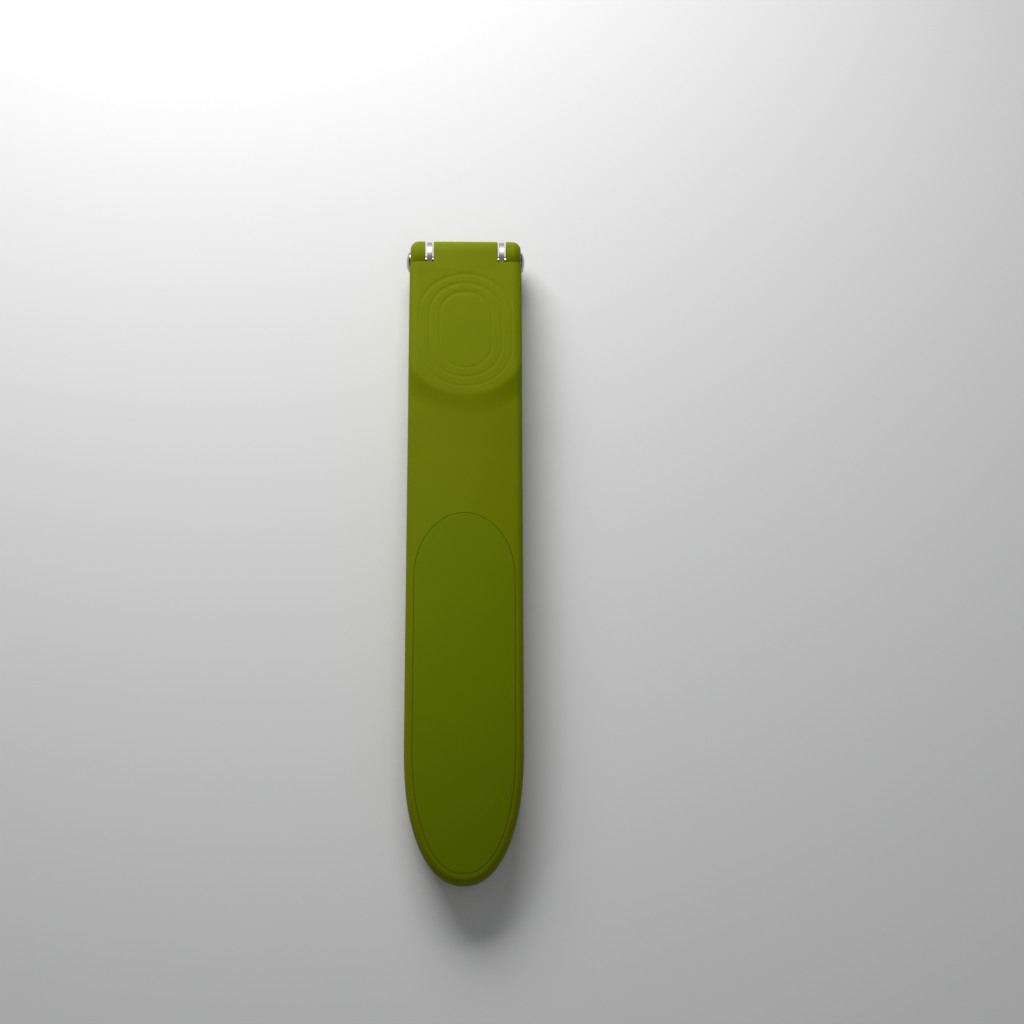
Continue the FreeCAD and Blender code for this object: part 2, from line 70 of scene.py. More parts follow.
GRIP_NEAR = PIN.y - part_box("upper_grip")[1].y
GRIP_TIP = PIN.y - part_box("upper_grip")[0].y
REAR_TIP_REACH = PIN.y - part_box("lower_handle")[0].y
REAR_GRIP_TIP = PIN.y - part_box("lower_grip")[0].y
GRIP_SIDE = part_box("upper_grip")[1].x
HEAD_CAP_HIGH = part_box("right_rivet_head")[1]
HEAD_CAP_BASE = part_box("right_rivet_head")[0].x
FRAME_HALF_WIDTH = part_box("lower_handle")[1].x
BASKET_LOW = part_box("basket")[0]

# Plan outline of the handles
HANDLE_HALF_WIDTH = 16.9 * MM
TIP_START = 160 * MM
TIP_FULLNESS = 2.2
TIP_POINTS = 46
GRIP_SHOULDER = GRIP_NEAR + 19.5 * MM
HEAD_STRAIGHT = 28 * MM

# Reaches of the sections along each handle in millimetres, as start, end and spacing
FRONT_SECTIONS = ((5, 34, 1.5), (34, 56, 0.3), (56, 160, 1.3))
REAR_SECTIONS = ((44, 160, 1.1),)

# How far inside a round end the middle line of the sections stops, so that they fan round it
HANDLE_FAN = 14 * MM
GRIP_FAN = 12 * MM

# Head of the front handle
HEAD_SLOPE = math.radians(3.5)
PARTING_SLOPE = math.radians(1.5)
HEAD_PARTING = 3.9 * MM
GRIP_PARTING = 1.6 * MM
HANDLE_GAP = 1 * MM
HEAD_GAP = 0.5 * MM
NOTCH_REACH = 3.4 * MM
RAMP_NEAR = 56.5 * MM
RAMP_FAR = 66.5 * MM
PAD_CENTRE = 31.9 * MM
PAD_RADIUS = 18.5 * MM
ROLL_END = 36 * MM
ROLL_BLEND = 12 * MM
RING_CENTRE = 27.75 * MM
RING_STRAIGHT = 5.6 * MM
RING_RADII = (7.8 * MM, 10.95 * MM, 14.15 * MM)
RING_STEPS = 40
# Half of a ring's channel, from just above the head to its middle, as shares of its half width and depth
RING_PROFILE = ((1.15, -0.5), (1.0, 0.0), (0.82, 0.4), (0.62, 0.8), (0.4, 0.97), (0.15, 1.0))

# Knuckle, and the web between it and the head
KNUCKLE_HALF_WIDTH = 9.8 * MM
KNUCKLE_ROUND = 0.4 * MM
KNUCKLE_ARC_END = math.radians(402)
KNUCKLE_ARC_STEPS = 80
WEB_REACH = NOTCH_REACH + 2.6 * MM
WEB_DEPTH = 1.6 * MM
WEB_PROUD = 0.004 * MM

# Room round the knuckle and the ears, round the pin in the knuckle, and round the pin in the ears and rivets
SWING_GAP = 0.4 * MM
RUNNING_GAP = 0.06 * MM
PRESS_FIT = 0.02 * MM

# Frame of the rear handle, round the basket
EAR_INSIDE = 12.4 * MM
# The cut between the ears reaches a trace past their inner sides
EAR_CUT = EAR_INSIDE + 0.006 * MM
# Reach at which the slope behind an ear meets the flat back
EAR_FOOT = math.sqrt(2) * KNUCKLE_RADIUS
EAR_ARC_STEPS = 60
TOP_INSET_SHARE = 0.12
FRAME_END = PIN.y - BASKET_LOW.y + 2.5 * MM
FRAME_CORNER = 6 * MM
FRAME_ROUND = 2.6 * MM
FRAME_ROUND_STEPS = 10
FRAME_CORNER_STEPS = 16
FRAME_OVERLAP = 0.5 * MM
WINDOW_HALF_WIDTH = 12.2 * MM
WINDOW_FAR = FRAME_END - 3.4 * MM
WINDOW_CORNER = 2.4 * MM
REBATE = 1.7 * MM
REBATE_NEAR = 11.6 * MM
REBATE_DEPTH = 1.6 * MM
REBATE_CORNER = 0.3 * MM
# Steps between faces that would otherwise lie in one plane
HAIR = 0.01 * MM
BODY_SETBACK = 5 * HAIR
BODY_DROP = 3 * HAIR

# Hollow inside of the handles, and the pockets for the grips
SKIN = 2.2 * MM
CORE_WALL = SKIN + 0.9 * MM
RIB = 1.6 * MM
RIB_SPACING = 22 * MM
CORE_NEAR = 68 * MM
CORE_FAR = 190 * MM
CELL_STOP = 0.5 * MM
GRIP_THICK = 2 * MM
GRIP_FLOOR_GAP = 0.03 * MM
GRIP_INNER_ROUND = 0.1 * MM
POCKET_EDGE = 0.02 * MM
OUTSIDE = 3 * MM

# Rivet heads
DOME_RIM = 0.35 * MM
DOME_CHAMFER = 0.12 * MM
DOME_CHAMFER_RISE = 0.05 * MM
DOME_BORE = 0.82 * MM
DOME_STEPS = 14
DOME_SEGMENTS = 72

SHARP_ANGLE = math.radians(35)
WELD_DISTANCE = 1e-6
FLOOR_HALF_WIDTH = 2.5

# Reach, rise of the middle and crown radius along each handle's outside, in millimetres
UPPER_BACK = ((28, 8.0, 110), (46, 9.0, 105), (55, 9.1, 100), (65, 9.1, 90), (80, 9.4, 80),
              (102, 9.9, 75), (125, 10.0, 75), (150, 9.35, 75), (170, 7.9, 70), (185, 6.1, 60),
              (196, 4.3, 50), (206, 2.2, 50))
LOWER_BACK = ((36, -6.4, 300), (46, -6.6, 300), (56, -6.5, 200), (66, -6.35, 110), (82, -6.6, 80),
              (105, -7.2, 75), (128, -7.45, 75), (150, -7.1, 75), (170, -5.9, 70), (185, -4.3, 60),
              (196, -2.7, 50), (206, -0.8, 50))


class PressSizes(bpy.types.PropertyGroup):
    """Sizes of the moulded details that a user would change."""
    edge_round: FloatProperty(name="Edge round", default=1.8 * MM, min=0.2 * MM, max=3 * MM, unit="LENGTH",
                              description="Depth of the rounding along the handles' outer edges")
    head_round: FloatProperty(name="Head round", default=1.5 * MM, min=0.2 * MM, max=2 * MM, unit="LENGTH",
                              description="Depth of the rounding along the sides of the ringed head")
    head_roll: FloatProperty(name="Head roll", default=3.0 * MM, min=0.2 * MM, max=4 * MM, unit="LENGTH",
                             description="Width of the rounding along the sides of the ringed head")
    inner_round: FloatProperty(name="Parting round", default=0.35 * MM, min=0.05 * MM, max=1 * MM,
                               unit="LENGTH",
                               description="Radius of the edges where the handles face each other")
    pad_rim: FloatProperty(name="Pad rim", default=0.5 * MM, min=0.1 * MM, max=2 * MM, unit="LENGTH",
                           description="Size of the rounding along the pad's end")
    pad_sweep: FloatProperty(name="Pad sweep", default=6.5 * MM, min=0.3 * MM, max=12 * MM, unit="LENGTH",
                             description="Width of the hollow that sweeps from the pad's end to the shank")
    ring_width: FloatProperty(name="Ring width", default=1.0 * MM, min=0.2 * MM, max=2 * MM, unit="LENGTH",
                              description="Width of the oval channels on the head")
    ring_depth: FloatProperty(name="Ring depth", default=0.045 * MM, min=0.02 * MM, max=0.8 * MM,
                              unit="LENGTH", description="Depth of the oval channels on the head")
    grip_gap: FloatProperty(name="Grip gap", default=0.04 * MM, min=0.02 * MM, max=1 * MM, unit="LENGTH",
                            description="Gap round the inset grips")
    grip_round: FloatProperty(name="Grip edge round", default=0.22 * MM, min=0.05 * MM, max=1 * MM,
                              unit="LENGTH", description="Radius along the inset grips' outer edges")


class PressFinish(bpy.types.PropertyGroup):
    """Colours and textures of the finishes."""
    green: FloatVectorProperty(name="Green nylon", subtype="COLOR", size=3, min=0, max=1,
                               default=(0.178, 0.222, 0.0006), description="Colour of the moulded handles")
    grip_green: FloatVectorProperty(name="Grip green", subtype="COLOR", size=3, min=0, max=1,
                                    default=(0.160, 0.222, 0.0007), description="Colour of the inset grips")
    steel: FloatVectorProperty(name="Steel", subtype="COLOR", size=3, min=0, max=1,
                               default=(0.36, 0.345, 0.315), description="Colour of the bare steel")
    nylon_roughness: FloatProperty(name="Nylon roughness", default=0.5, min=0, max=1, subtype="FACTOR",
                                   description="Roughness of the moulded handles")
    grip_roughness: FloatProperty(name="Grip roughness", default=0.56, min=0, max=1, subtype="FACTOR",
                                  description="Roughness of the inset grips")


class PressStage(bpy.types.PropertyGroup):
    """Floor, lights and camera."""
    floor_colour: FloatVectorProperty(name="Floor", subtype="COLOR", size=3, min=0, max=1,
                                      default=(0.90, 0.90, 0.90), description="Colour of the studio floor")
    azimuth: FloatProperty(name="Azimuth", default=math.radians(-2.86), subtype="ANGLE",
                           description="Direction of the camera round the press")
    elevation: FloatProperty(name="Elevation", default=math.radians(64.96), subtype="ANGLE",
                             description="Height of the camera above the horizon")
    roll: FloatProperty(name="Roll", default=math.radians(2.9), subtype="ANGLE",
                        description="Turn of the camera about its own line of sight")
    distance: FloatProperty(name="Distance", default=0.8125, min=0.1, unit="LENGTH",
                            description="Distance of the camera from the point it looks at")
    aim: FloatVectorProperty(name="Aim", size=3, default=(13.93 * MM, 11.84 * MM, 8 * MM),
                             subtype="TRANSLATION", description="Point that the camera looks at")
    lens: FloatProperty(name="Lens", default=97.0, min=10, max=300, unit="CAMERA",
                        description="Focal length in millimetres")
    key_power: FloatProperty(name="Key light", default=1.2, min=0, unit="POWER",
                             description="Power of the wide light behind the hinge")
    fill_power: FloatProperty(name="Fill light", default=0.5, min=0, unit="POWER",
                              description="Power of the soft light on the camera's side")
    ambient: FloatProperty(name="Ambient", default=0.1, min=0, max=3,
                           description="Strength of the even light from all round")


# Geometry helpers

def place(x, reach, rise):
    """Point at a distance across the press, a reach from the pin and a rise above it."""
    return Vector((x, PIN.y - reach, PIN.z + rise))


def clamped(share):
    """Share held between 0 and 1."""
    return min(1.0, max(0.0, share))


def smooth(share):
    """Gentle ramp from 0 to 1."""
    share = clamped(share)
    return share * share * (3 - 2 * share)


def quarter_turn(steps):
    """Evenly spaced angles from 0 to a right angle."""
    return [math.pi / 2 * step / steps for step in range(steps + 1)]


def section_reaches(spans):
    """Reaches of a handle's sections, from spans of start, end and spacing."""
    return [float(reach) for span in spans for reach in np.arange(*span) * MM]


def natural_cubic(places, values):
    """Smooth curve through a few values, as a function of place."""
    x = np.array(places, float)
    y = np.array(values, float)
    step = np.diff(x)
    count = len(x)
    matrix = np.eye(count)
    right = np.zeros(count)
    for i in range(1, count - 1):
        matrix[i, i - 1:i + 2] = step[i - 1], 2 * (step[i - 1] + step[i]), step[i]
        right[i] = 6 * ((y[i + 1] - y[i]) / step[i] - (y[i] - y[i - 1]) / step[i - 1])
    bend = np.linalg.solve(matrix, right)

    def value(place_on_curve):
        t = min(max(place_on_curve, x[0]), x[-1])
        i = int(min(max(np.searchsorted(x, t) - 1, 0), count - 2))
        a = (x[i + 1] - t) / step[i]
        b = 1 - a
        curve = ((a ** 3 - a) * bend[i] + (b ** 3 - b) * bend[i + 1]) * step[i] ** 2 / 6
        return float(a * y[i] + b * y[i + 1] + curve)
    return value


def back_surface(stations):
    """Height of a handle's crowned outside, as a function of x and reach."""
    reaches = [station[0] * MM for station in stations]
    rise = natural_cubic(reaches, [station[1] * MM for station in stations])
    crown = natural_cubic(reaches, [station[2] * MM for station in stations])
    outward = math.copysign(1, stations[0][1])

    def height(x, reach):
        radius = crown(reach)
        return rise(reach) - outward * (radius - math.sqrt(radius * radius - x * x))
    return height


def head_plane(reach):
    """Rise of the flat head, which is tangent to the knuckle."""
    return KNUCKLE_RADIUS / math.cos(HEAD_SLOPE) + reach * math.tan(HEAD_SLOPE)


def front_surface(sizes):
    """Height of the front handle's outside: flat pad, swept step and crowned shank."""
    shank = back_surface(UPPER_BACK)

    def height(x, reach):
        low = shank(x, reach)
        past = math.hypot(x, max(0.0, reach - PAD_CENTRE)) - PAD_RADIUS
        across = (past + math.hypot(past, sizes.pad_rim)) / (2 * sizes.pad_sweep)
        share = (1 - min(1.0, across)) ** 2
        return low + (head_plane(reach) - low) * share
    return height


def parting_ramp(reach, near):
    """Share of the way from the head's parting, which ends at a near reach, to the grip's."""
    return clamped((reach - near) / (RAMP_FAR - RAMP_NEAR))


def upper_parting(reach):
    """Rise of the front handle's inner side."""
    head = HEAD_PARTING + min(reach, RAMP_NEAR) * math.tan(PARTING_SLOPE)
    return head + (GRIP_PARTING - head) * parting_ramp(reach, RAMP_NEAR)


def frame_top(reach):
    """Rise of the rear handle's frame, just under the head."""
    return HEAD_PARTING + reach * math.tan(PARTING_SLOPE) - HEAD_GAP


def lower_parting(reach):
    """Rise of the rear handle's inner side."""
    near = RAMP_NEAR - HEAD_GAP
    head = frame_top(min(reach, near))
    return head + (GRIP_PARTING - HANDLE_GAP - head) * parting_ramp(reach, near)


def bullet(half_width, tip):
    """Left half of a bullet-shaped end, evenly spaced from its side to its tip."""
    fine = []
    for angle in quarter_turn(400):
        across = -half_width * math.cos(angle) ** (2 / TIP_FULLNESS)
        fine.append((across, TIP_START + (tip - TIP_START) * math.sin(angle) ** (2 / TIP_FULLNESS)))
    points = np.array(fine)
    length = np.concatenate([[0], np.cumsum(np.hypot(*np.diff(points, axis=0).T))])
    wanted = np.linspace(0, length[-1], TIP_POINTS)
    return list(zip(*(np.interp(wanted, length, points[:, axis]).tolist() for axis in (0, 1))))


def handle_outline(straight, near_half_width, reaches, tip):
    """Left half of a handle's outline, parallel up to a reach and then widening towards its tip."""
    points = []
    for reach in reaches:
        share = max(0.0, reach - straight) / (TIP_START - straight)
        points.append((-(near_half_width + (HANDLE_HALF_WIDTH - near_half_width) * share), reach))
    return points + bullet(HANDLE_HALF_WIDTH, tip)


def grip_outline(tip, extra=0.0):
    """Left half of the inset grip's outline, from the middle of its round end to its tip."""
    side = GRIP_SIDE + extra
    near = GRIP_NEAR - extra
    points = []
    for angle in quarter_turn(28)[:-1]:
        points.append((-side * math.sin(angle), GRIP_SHOULDER - (GRIP_SHOULDER - near) * math.cos(angle)))
    points += [(-side, float(reach)) for reach in np.linspace(GRIP_SHOULDER, TIP_START, 30)[:-1]]
    return points + bullet(side, tip + extra)


def inward_normals(outline):
    """Unit vectors in plan that point into a left half outline."""
    points = np.array(outline)
    run = np.gradient(points, axis=0)
    run /= np.hypot(run[:, 0], run[:, 1])[:, None]
    normals = np.stack([run[:, 1], -run[:, 0]], axis=1)
    normals[-1] = 0, -1
    if abs(outline[0][0]) < WELD_DISTANCE:
        normals[0] = 0, 1
    return normals


def section_points(point, normal, spine, shape):
    """One section of a moulded shell, from its spine over the outside and round the edge to the inside."""
    round_steps = 9
    across_steps = shape["across"]
    outward = shape["outward"]
    edge, roll = shape["edge"](point[1])
    inner = shape["inner_edge"]
    section = []

    def inset(distance):
        return point[0] + normal[0] * distance, point[1] + normal[1] * distance

    x_in, r_in = inset(roll)
    for step in range(across_steps):
        share = step / across_steps
        x = x_in * share
        reach = spine + (r_in - spine) * share
        section.append((x, reach, shape["outside"](x, reach)))
    for step in range(round_steps):
        angle = math.pi / 2 * (1 - step / (round_steps - 1))
        x, reach = inset(roll * (1 - math.cos(angle)))
        section.append((x, reach, shape["outside"](x, reach) - outward * edge * (1 - math.sin(angle))))
    high = section[-1][2]
    low = shape["inside"](*point) + outward * inner
    for share in (0.33, 0.67):
        section.append((point[0], point[1], high + (low - high) * share))
    for step in range(4):
        angle = math.pi / 2 * step / 3
        x, reach = inset(inner * (1 - math.cos(angle)))
        section.append((x, reach, shape["inside"](x, reach) + outward * inner * (1 - math.sin(angle))))
    x_in, r_in = inset(inner)
    for step in range(1, shape["inner_across"] + 1):
        share = 1 - step / shape["inner_across"]
        x = x_in * share
        reach = spine + (r_in - spine) * share
        section.append((x, reach, shape["inside"](x, reach)))
    return section


def moulded_shell(name, outline, shape):
    """Closed solid with a plan outline, a curved outside and an inside, as one smooth skin."""
    normals = inward_normals(outline)
    near = outline[0][1]
    far = outline[-1][1]
    spine_near = near + shape["near_fan"]
    spine_far = far - shape["tip_fan"]
    shell = bmesh.new()
    columns = []
    for point, normal in zip(outline, normals):
        spine = spine_near + (point[1] - near) * (spine_far - spine_near) / (far - near)
        columns.append([shell.verts.new(place(*p)) for p in section_points(point, normal, spine, shape)])
    for one, two in zip(columns, columns[1:]):
        for i in range(len(one) - 1):
            shell.faces.new((one[i], one[i + 1], two[i + 1], two[i]))
    if abs(outline[0][0]) > WELD_DISTANCE:
        shell.faces.new(columns[0])
    copy = bmesh.ops.duplicate(shell, geom=shell.verts[:] + shell.edges[:] + shell.faces[:])["geom"]
    for vert in (v for v in copy if isinstance(v, bmesh.types.BMVert)):
        vert.co.x = -vert.co.x
    bmesh.ops.remove_doubles(shell, verts=shell.verts[:], dist=WELD_DISTANCE)
    bmesh.ops.dissolve_degenerate(shell, edges=shell.edges[:], dist=WELD_DISTANCE)
    return as_object(name, shell)


def as_object(name, shape):
    """Scene object from an edit mesh, with its normals turned outwards."""
    bmesh.ops.recalc_face_normals(shape, faces=shape.faces[:])
    mesh = bpy.data.meshes.new(name)
    shape.to_mesh(mesh)
    shape.free()
    piece = bpy.data.objects.new(name, mesh)
    bpy.context.scene.collection.objects.link(piece)
    return piece


def new_ring(shape, loop):
    """Vertices of an edit mesh at the points of a loop."""
    return [shape.verts.new(point) for point in loop]


def band(shape, one, two):
    """Faces between two rings of vertices."""
    count = len(one)
    for i in range(count):
        shape.faces.new((one[i], one[(i + 1) % count], two[(i + 1) % count], two[i]))


def loft(shape, loops, endless=False):
    """Skin over a row of loops, capped at both ends or, when endless, joined back to its start."""
    rings = [new_ring(shape, loop) for loop in loops]
    for one, two in zip(rings, rings[1:] + rings[:1] if endless else rings[1:]):
        band(shape, one, two)
    if not endless:
        shape.faces.new(rings[0])
        shape.faces.new(rings[-1])


def circle(x, radius, segments):
    """Points round the pin's axis, at one place across the press."""
    turns = [2 * math.pi * i / segments for i in range(segments)]
    return [place(x, radius * math.cos(a), radius * math.sin(a)) for a in turns]


def rod(shape, radius, x_from, x_to, segments=64):
    """Cylinder round the pin's axis, added to an edit mesh."""
    loft(shape, [circle(x, radius, segments) for x in (x_from, x_to)])


def combine(piece, other, operation):
    """Applies a boolean of another object, which is then removed."""
    modifier = piece.modifiers.new("combine", "BOOLEAN")
    modifier.object = other
    modifier.operation = operation
    modifier.solver = "EXACT"
    graph = bpy.context.evaluated_depsgraph_get()
    made = bpy.data.meshes.new_from_object(piece.evaluated_get(graph))
    piece.modifiers.clear()
    old = piece.data
    name = old.name
    piece.data = made
    bpy.data.meshes.remove(old)
    made.name = name
    bpy.data.objects.remove(other)


def finish_piece(piece, material, body, nodes):
    """Shades a new piece, gives it its material and ties it to the model."""
    piece.data.materials.clear()
    piece.data.materials.append(material)
    piece.data.shade_smooth()
    piece.data.set_sharp_from_angle(angle=SHARP_ANGLE)
    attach(piece, body)
    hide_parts(*nodes)


def paint(node, material):
    """Gives a carried-over node its material."""
    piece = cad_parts[node]
    if not piece.material_slots:
        piece.data.materials.append(material)
    for holder in piece.material_slots:
        holder.material = material


def arc(radius, start, end, steps):
    """Points on an arc round the pin, as (reach, rise)."""
    angles = [start + (end - start) * step / steps for step in range(steps + 1)]
    return [(radius * math.cos(angle), radius * math.sin(angle)) for angle in angles]


# Front handle

def knuckle_loop(x, inset):
    """Section of the knuckle and its web across the pin, drawn in by an inset."""
    points = arc(KNUCKLE_RADIUS - inset, math.pi / 2 + HEAD_SLOPE, KNUCKLE_ARC_END, KNUCKLE_ARC_STEPS)
    top = head_plane(WEB_REACH)
    points += [(WEB_REACH, top - WEB_DEPTH), (WEB_REACH, top - inset + WEB_PROUD)]
    return [place(x, reach, rise) for reach, rise in points]


def knuckle():
    """Centre knuckle with slightly rounded ends."""
    shape = bmesh.new()
    soft = KNUCKLE_ROUND
    turns = quarter_turn(4)
    ends = [(KNUCKLE_HALF_WIDTH - soft * (1 - math.sin(a)), soft * (1 - math.cos(a))) for a in turns]
    rows = [(-x, inset) for x, inset in reversed(ends)] + ends
    loft(shape, [knuckle_loop(x, inset) for x, inset in rows])
    return as_object("knuckle", shape)


def stadium_path(radius):
    """Oval of a ring on the head, as (x, reach) points."""
    points = []
    for centre, start in ((RING_CENTRE + RING_STRAIGHT, 0.0), (RING_CENTRE - RING_STRAIGHT, math.pi)):
        for i in range(RING_STEPS + 1):
            angle = start + math.pi * i / RING_STEPS
            points.append((radius * math.cos(angle), centre + radius * math.sin(angle)))
    return points


def ring_cutter(shape, radius, sizes):
    """Shallow channel with a softly hollow floor, to be cut into the head along an oval."""
    half = sizes.ring_width / 2
    profile = [(-half * across, deep) for across, deep in RING_PROFILE]
    profile += [(half * across, deep) for across, deep in reversed(RING_PROFILE)]
    loops = []
    for offset, share in profile:
        depth = share * sizes.ring_depth
        path = stadium_path(radius + offset)
        loops.append([place(x, reach, head_plane(reach) - depth) for x, reach in path])
    loft(shape, loops, endless=True)


def half_width_at(reach, inset, tip):
    """Half width of a handle's grip at a reach, drawn in by an inset."""
    if reach <= TIP_START:
        return HANDLE_HALF_WIDTH - inset
    share = (reach - TIP_START) / (tip - inset - TIP_START)
    return (HANDLE_HALF_WIDTH - inset) * (1 - share ** TIP_FULLNESS) ** (1 / TIP_FULLNESS)


def cell_section(side, reach, wide, back, parting, outward):
    """Section across a pocket between the ribs, whose floor follows the handle's outside."""
    open_rise = parting - outward * OUTSIDE
    points = [place(side * RIB / 2, reach, open_rise), place(side * wide, reach, open_rise)]
    for x in np.linspace(wide, RIB / 2, 6):
        floor = outward * back(x, reach) - GRIP_THICK - SKIN
        points.append(place(side * x, reach, outward * max(floor, outward * parting - CELL_STOP)))
    return points


def core_cells(shape, back, parting, outward, tip):
    """Pockets between the ribs on the inner side of a handle."""
    near = CORE_NEAR
    while near < CORE_FAR - RIB:
        far = min(near + RIB_SPACING - RIB, CORE_FAR) if near > CORE_NEAR else near + RIB_SPACING
        reaches = [float(r) for r in np.linspace(near, far, 9)]
        for side in (-1, 1):
            sections = []
            for reach in reaches:
                wide = half_width_at(reach, CORE_WALL, tip)
                sections.append(cell_section(side, reach, wide, back, parting, outward))
            loft(shape, sections)
        near = far + RIB


def pocket_shape(back, outward):
    """Space that the inset grip lies in, as the shape of a shell."""
    return {
        "outside": lambda x, reach: back(x, reach) + outward * OUTSIDE,
        "inside": lambda x, reach: back(x, reach) - outward * GRIP_THICK,
        "outward": outward, "edge": lambda reach: (POCKET_EDGE, POCKET_EDGE), "inner_edge": POCKET_EDGE,
        "across": 10, "inner_across": 10, "near_fan": GRIP_FAN, "tip_fan": GRIP_FAN,
    }


def front_handle(sizes):
    """Front handle with its ringed head, knuckle, ribbed inside and pocket for the grip."""
    reaches = [NOTCH_REACH] + section_reaches(FRONT_SECTIONS)

    def edge(reach):
        share = smooth((reach - ROLL_END) / ROLL_BLEND)
        deep = sizes.head_round + (sizes.edge_round - sizes.head_round) * share
        return deep, sizes.head_roll + (sizes.edge_round - sizes.head_roll) * share
    shape = {
        "outside": front_surface(sizes), "inside": lambda x, reach: upper_parting(reach), "outward": 1,
        "edge": edge, "inner_edge": sizes.inner_round,
        "across": 52, "inner_across": 6, "near_fan": 0.0, "tip_fan": HANDLE_FAN,
    }
    outline = handle_outline(HEAD_STRAIGHT, HEAD_HALF_WIDTH, reaches, TIP_REACH)
    handle = moulded_shell("front_handle", outline, shape)
    combine(handle, knuckle(), "UNION")
    back = back_surface(UPPER_BACK)
    cuts = bmesh.new()
    for side in (-1, 1):
        rod(cuts, KNUCKLE_RADIUS + SWING_GAP, side * KNUCKLE_HALF_WIDTH, side * 2 * KNUCKLE_HALF_WIDTH, 96)
    core_cells(cuts, back, GRIP_PARTING, 1, TIP_REACH)
    for radius in RING_RADII:
        ring_cutter(cuts, radius, sizes)
    combine(handle, as_object("cuts", cuts), "DIFFERENCE")
    pocket = moulded_shell("pocket", grip_outline(GRIP_TIP, sizes.grip_gap), pocket_shape(back, 1))
    combine(handle, pocket, "DIFFERENCE")
    hole = bmesh.new()
    rod(hole, PIN_RADIUS + RUNNING_GAP, -HEAD_HALF_WIDTH, HEAD_HALF_WIDTH)
    combine(handle, as_object("hole", hole), "DIFFERENCE")
    return handle


# Rear handle

def ear_loop(x, inset, side):
    """Side view of a hinge ear and the wall behind it, drawn in by an inset on its outer rim."""
    radius = KNUCKLE_RADIUS - inset
    top_inset = inset * TOP_INSET_SHARE
    start = math.asin((frame_top(0) - top_inset) / radius)
    straight_end = FRAME_END - FRAME_CORNER
    points = arc(radius, start, 1.5 * math.pi, EAR_ARC_STEPS)
    points += [(EAR_FOOT, inset - PIN.z), (straight_end, inset - PIN.z)]
    points.append((straight_end, frame_top(straight_end) - top_inset))
    return [place(side * x, reach, rise) for reach, rise in points]


def frame_rounding():
    """Rounding of the frame's edge, as (distance from its side, distance from its face)."""
    return [(FRAME_ROUND * (1 - math.sin(a)), FRAME_ROUND * (1 - math.cos(a)))
            for a in quarter_turn(FRAME_ROUND_STEPS)]


def ear_and_wall(side):
    """Hinge ear with a rounded rim, and the side wall of the frame that it grows into."""
    rows = [(EAR_INSIDE, 0.0)]
    rows += [(FRAME_HALF_WIDTH - aside, inset) for aside, inset in frame_rounding()]
    shape = bmesh.new()
    loft(shape, [ear_loop(x, inset, side) for x, inset in rows])
    return as_object("ear", shape)


def frame_end():
    """Far end of the frame, with round corners and a rounded bottom edge."""
    near = FRAME_END - FRAME_CORNER - FRAME_OVERLAP
    levels = [(inset, lambda reach, up=up: HAIR - PIN.z + up) for inset, up in frame_rounding()]
    loops = []
    for inset, level in levels + [(0.0, frame_top)]:
        side = FRAME_HALF_WIDTH - HAIR - inset
        corner = FRAME_CORNER - inset
        far = FRAME_END - inset
        points = [(-side, near)]
        for step in range(2 * FRAME_CORNER_STEPS + 1):
            angle = math.pi / 2 * step / FRAME_CORNER_STEPS
            past = step - FRAME_CORNER_STEPS
            centre = math.copysign(side - corner, past) if past else 0.0
            points.append((centre - corner * math.cos(angle), far - corner + corner * math.sin(angle)))
        points.append((side, near))
        loops.append([place(x, reach, level(reach)) for x, reach in points])
    shape = bmesh.new()
    loft(shape, loops)
    return as_object("frame_end", shape)


def rounded_prism(shape, half_width, near, far, corner, low, high):
    """Upright prism with two round corners at its far end, between two functions of reach."""
    points = [(-half_width, near)]
    for angle in quarter_turn(8):
        points.append((corner * (1 - math.cos(angle)) - half_width, far - corner * (1 - math.sin(angle))))
    points += [(-x, reach) for x, reach in reversed(points)]
    loft(shape, [[place(x, reach, level(reach)) for x, reach in points] for level in (low, high)])


